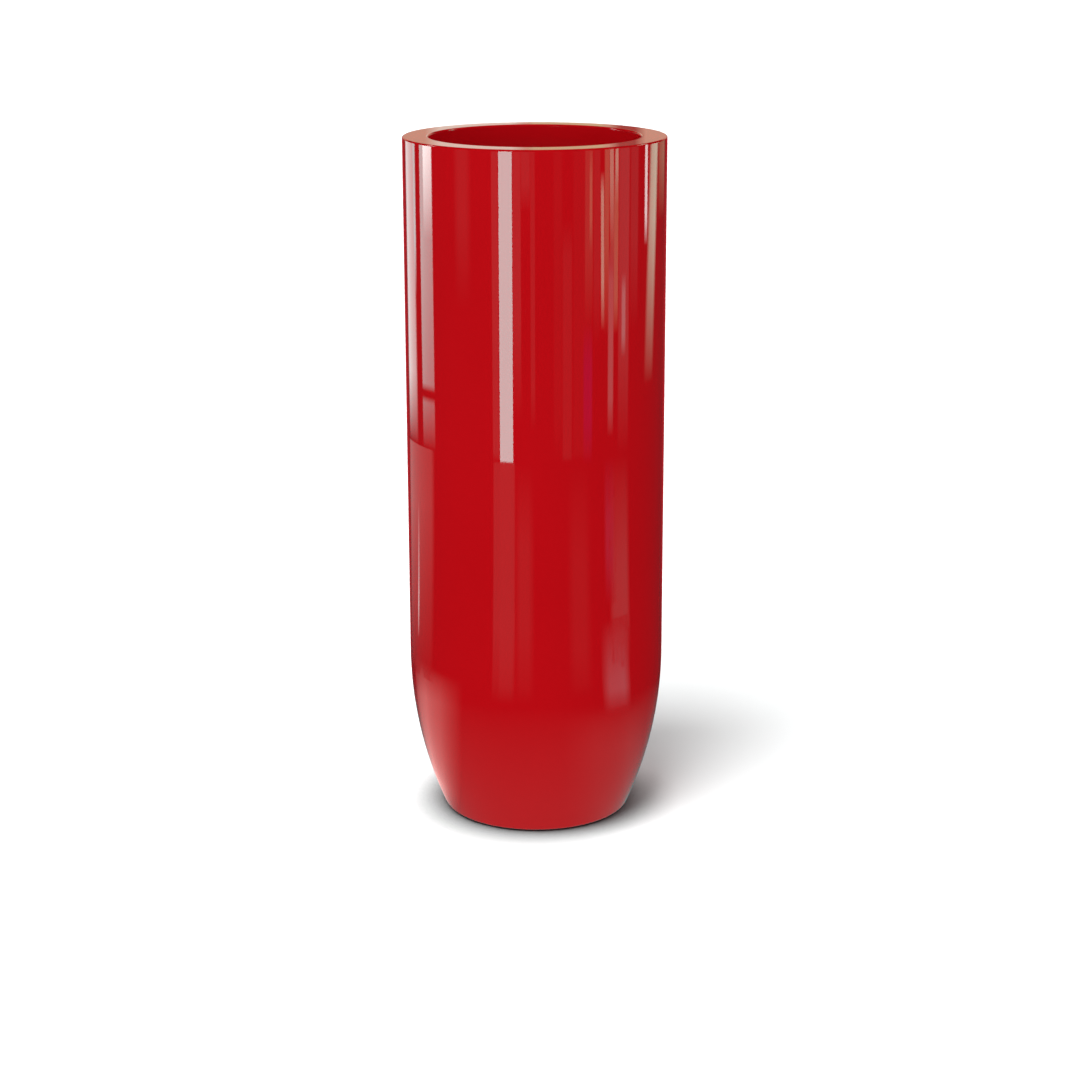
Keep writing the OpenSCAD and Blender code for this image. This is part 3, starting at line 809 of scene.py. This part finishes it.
def room():
    """The dim room that the lacquer mirrors: tall windows at the left, a lamp in front, shelves at the
    right, and the wall behind, in the flat rim."""
    panel("walls", -180, 180, -0.01, 1.15, (0.6, 0.9, 1.0), 0.03, sides=0, foot=0, top=0.1, distance=3.2)
    panel("window_far_left", -148, -124, 0.0, 1.1, PALE, 2.5, sides=0.14, foot=0.16, top=0.02)
    panel("window_frame_left", -128, -122.5, 0.38, 1.05, COOL, 3.6, sides=0.25, foot=0.2, distance=2.45)
    panel("window_left_low", -115.5, -96.5, 0.0, 0.13, COOL, 1.8, sides=0.06, foot=0.85, top=0.12)
    panel("window_left", -115.5, -96.5, 0.14, 1.1, COOL, 5.2, sides=0.06, foot=0.7, top=0.02)
    panel("window_left_haze", -115.5, -96.5, 0.14, 0.75, COOL, 2.6,
          sides=0.06, foot=0.03, top=0.4, distance=2.52)
    panel("window_left_sun", -110, -96.5, 0.52, 1.1, PALE, 13.0,
          sides=0.1, foot=0.45, top=0.02, distance=2.48)
    panel("window_left_high", -112, -102, 1.95, 2.6, PALE, 11.0, sides=0.2, foot=0.1)
    panel("curtain_left", -72, -54, 0.36, 1.05, COOL, 0.22, sides=0.3, foot=0.3)
    panel("lamp_edge_left", -36.5, -30.5, 0.0, 1.05, COOL, 0.38, sides=0.08, foot=0.02)
    panel("lamp", -30.2, -18.8, 0.0, 1.15, COOL, 10.2, sides=0.015, foot=0.003, top=0.05, distance=2.49)
    panel("lamp_edge_right", -18.8, -11.5, 0.1, 1.05, COOL, 0.38, sides=0.08, foot=0.25)
    panel("screen_top", -11.5, -4, 0.6, 1.05, COOL, 0.34, sides=0.05, foot=0.15)
    panel("screen_edge", -4, 0, 0.08, 1.05, COOL, 0.24, sides=0.1, foot=0.1)
    panel("door", 15, 22.5, 0.0, 1.05, COOL, 0.09, sides=0.1, foot=0.1)
    panel("door_frame", 22.5, 31, 0.0, 0.58, COOL, 0.19, sides=0.08, foot=0.02, top=0.15)
    panel("shelf_back", 31, 49, 0.0, 1.05, COOL, 0.09, sides=0.1, foot=0.02)
    panel("shelf_1", 41.5, 49.5, 0.34, 1.05, CREAM, 0.5, sides=0.12, foot=0.25, distance=2.45)
    panel("shelf_1_glint", 45.6, 48.6, 0.52, 0.76, AMBER, 1.7, sides=0.25, foot=0.3, top=0.3, distance=2.4)
    panel("shelf_1_blue", 40.5, 49.3, 0.0, 0.34, BLUE, 0.5, sides=0.12, foot=0.3, top=0.3, distance=2.45)
    panel("shelf_2", 49.5, 56, 0.28, 1.05, COOL, 0.24, sides=0.12, foot=0.2)
    panel("shelf_2_glint", 56.2, 60, 0.33, 0.70, CREAM, 4.6,
          sides=0.25, foot=0.3, top=0.15, distance=2.4, lean=-1)
    panel("shelf_3", 59.5, 65, 0.3, 1.05, AMBER, 1.3, sides=0.2, foot=0.3)
    panel("shelf_3_glint", 64.2, 69, 0.48, 1.05, CREAM, 3.4, sides=0.2, foot=0.35, distance=2.4, lean=-2)
    panel("shelf_3_low", 63.5, 70, 0.05, 0.52, COOL, 1.3, sides=0.2, foot=0.2, top=0.2)
    panel("shelf_4_glint", 70, 74, 0.62, 1.05, CREAM, 4.2, sides=0.2, foot=0.2, distance=2.4)
    panel("shelf_4", 69, 74.5, 0.3, 0.7, AMBER, 1.6, sides=0.2, foot=0.2, top=0.2)
    panel("shelf_5", 74, 87, 0.0, 1.05, COOL, 0.5, sides=0.12, foot=0.3)
    panel("shelf_5_glint", 77.5, 83, 0.26, 0.46, COOL, 2.2, sides=0.25, foot=0.25, top=0.25, distance=2.4)
    panel("shelf_end", 87, 98, 0.3, 1.05, COOL, 0.26, sides=0.15, foot=0.3)
    panel("window_right", 106.2, 111, 0.5, 1.1, PALE, 6.5, sides=0.2, foot=0.12, top=0.02)
    panel("window_right_cream", 112, 129, 0.16, 1.05, CREAM, 3.0, sides=0.25, foot=0.45, lean=11)
    panel("window_right_high", 108, 120, 1.95, 2.6, CREAM, 8.0, sides=0.2, foot=0.1)
    panel("window_right_edge", 130, 150, 0.55, 1.05, AMBER, 0.45, sides=0.2, foot=0.3)
    panel("wall_behind_low", 148, 212, 0.0, 1.1, RED_WALL, 0.42, sides=0.15, foot=0, top=0.02)
    panel("wall_behind", 140, 220, 1.12, 1.8, (1.0, 0.66, 0.48), 0.72, sides=0.2, foot=0.08, top=0.2)
    for name, start, end, colour, strength, sides in (
            ("wall_behind_left", 180.5, 186.2, (0.96, 0.90, 0.76), 1.0, 0.15),
            ("wall_behind_front", 175.8, 180.5, (0.9, 0.80, 0.48), 0.8, 0.1),
            ("wall_behind_dark", 173.7, 175.8, (0.8, 0.25, 0.2), 0.40, 0.3)):
        panel(name, start, end, 1.12, 1.8, colour, strength, sides=sides, foot=0.08, distance=2.45)


def room_floor():
    """The same room's floor: dim, with the windows' and the lamp's light on it in sectors."""
    low = -0.5 * MM
    wedge("boards", -180, 180, 0.0, 6.0, (0.5, 0.8, 1.0), 0.03, sides=0, foot=0, top=0, height=low)
    wedge("near", -180, 180, 0.0, 0.62, (0.35, 1.0, 1.0), 0.26, sides=0, foot=0, top=0.7, height=low / 2)
    wedge("near_left", -135, -62, 0.1, 0.85, PINK, 0.95, sides=0.35, foot=0.1, top=0.4)
    wedge("near_right", 20, 110, 0.1, 0.55, COOL, 0.36, sides=0.3, foot=0.1, top=0.5)
    wedge("window_light_left", -150, -98, 0.7, 2.5, (1.2, 1.0, 0.97), 0.5, sides=0.1, foot=0.7, top=0.0)
    wedge("window_gleam_left", -127, -123.5, 0.95, 2.4, PALE, 3.6,
          sides=0.3, foot=0.15, top=0.1, height=low / 8)
    wedge("lamp_light", -36.5, -17, 0.65, 2.49, COOL, 0.35, sides=0.06, foot=0.3, top=0.0, height=low / 4)
    wedge("lamp_light_side", -18, -1, 0.65, 2.49, COOL, 0.24, sides=0.3, foot=0.3, top=0.4, height=low / 4)
    wedge("lamp_core", -30.5, -19, 0.65, 2.49, COOL, 0.39, sides=0.04, foot=0.3, top=0.0)
    wedge("door_light", 26, 48, 0.7, 2.5, COOL, 0.15, sides=0.3, foot=0.2, top=0.5)
    wedge("shelf_light", 55, 86, 0.5, 1.2, (0.4, 1.0, 1.1), 1.0, sides=0.25, foot=0.3, top=0.5)
    wedge("shelf_light_far", 65, 88, 0.9, 2.5, COOL, 0.5, sides=0.2, foot=0.2, top=0.6)
    wedge("shelf_light_blue", 60, 72, 1.3, 2.5, (0.2, 0.5, 1.0), 0.5, sides=0.25, foot=0.3, top=0.5)
    wedge("wall_light_behind", 148, 212, 0.15, 2.5, RED_WALL, 0.42, sides=0.15, foot=0.1, top=0.0)


def sun(name, strength, softness, heading, shadow=True, only=()):
    """A lamp that gloss doesn't see. Its light goes along heading, and falls on the named objects alone,
    if there are any."""
    data = bpy.data.lights.new(name, "SUN")
    data.energy = strength
    data.angle = math.radians(softness)
    data.use_shadow = shadow
    lamp = bpy.data.objects.new(name, data)
    lamp.rotation_euler = Vector(heading).to_track_quat("-Z", "Y").to_euler()
    lamp.visible_glossy = False
    bpy.context.scene.collection.objects.link(lamp)
    if only:
        lit = bpy.data.collections.new(name + "_lights")
        for obj in only:
            lit.objects.link(obj)
        lamp.light_linking.receiver_collection = lit
    return lamp


def lights(ground):
    """A white sky and soft suns. The floor has a stronger key of its own, so that it stays pale."""
    world = bpy.data.worlds.new("studio")
    bpy.context.scene.world = world
    world.use_nodes = True
    sky = world.node_tree.nodes["Background"]
    sky.inputs["Color"].default_value = (1, 1, 1, 1)
    sky.inputs["Strength"].default_value = 0.82
    world.cycles_visibility.glossy = False
    heading = (0.33, 0.485, -1.1)
    others = [o for o in bpy.data.objects if o.type == "MESH" and o != ground]
    sun("key_on_floor", 5.15, 34, heading, only=[ground])
    sun("key", 0.25, 34, heading, only=others)
    sun("fill", 0.92, 40, (0.24, 0.9, -0.15), shadow=False)
    bowl()


def bowl():
    """A faint lamp in the mouth, for the light that the real vessel's walls throw at one another."""
    data = bpy.data.lights.new("bowl", "POINT")
    data.energy = 0.10
    data.shadow_soft_size = 0.05
    lamp = bpy.data.objects.new("bowl", data)
    lamp.location = (0, 0, RIM_Z - 30 * MM)
    lamp.visible_glossy = lamp.visible_camera = False
    bpy.context.scene.collection.objects.link(lamp)


def camera():
    """Stands in front of the object, higher than its rim, and looks down at it."""
    data = bpy.data.cameras.new("camera")
    data.sensor_width = 36
    data.lens = 80.15
    data.clip_end = 200
    obj = bpy.data.objects.new("camera", data)
    pitch, yaw, roll = math.pi / 2 - 0.27153, -0.0018, -0.00223
    turn = Matrix.Rotation(yaw, 4, "Z") @ Matrix.Rotation(pitch, 4, "X") @ Matrix.Rotation(roll, 4, "Z")
    obj.matrix_world = Matrix.Translation((0, -3.4246, 1.36)) @ turn
    bpy.context.scene.collection.objects.link(obj)
    bpy.context.scene.camera = obj


ground = floor()
room()
room_floor()
lights(ground)
camera()
bpy.context.scene.view_settings.view_transform = "Standard"
bpy.context.scene.view_settings.look = "None"

bpy.context.view_layer.update()
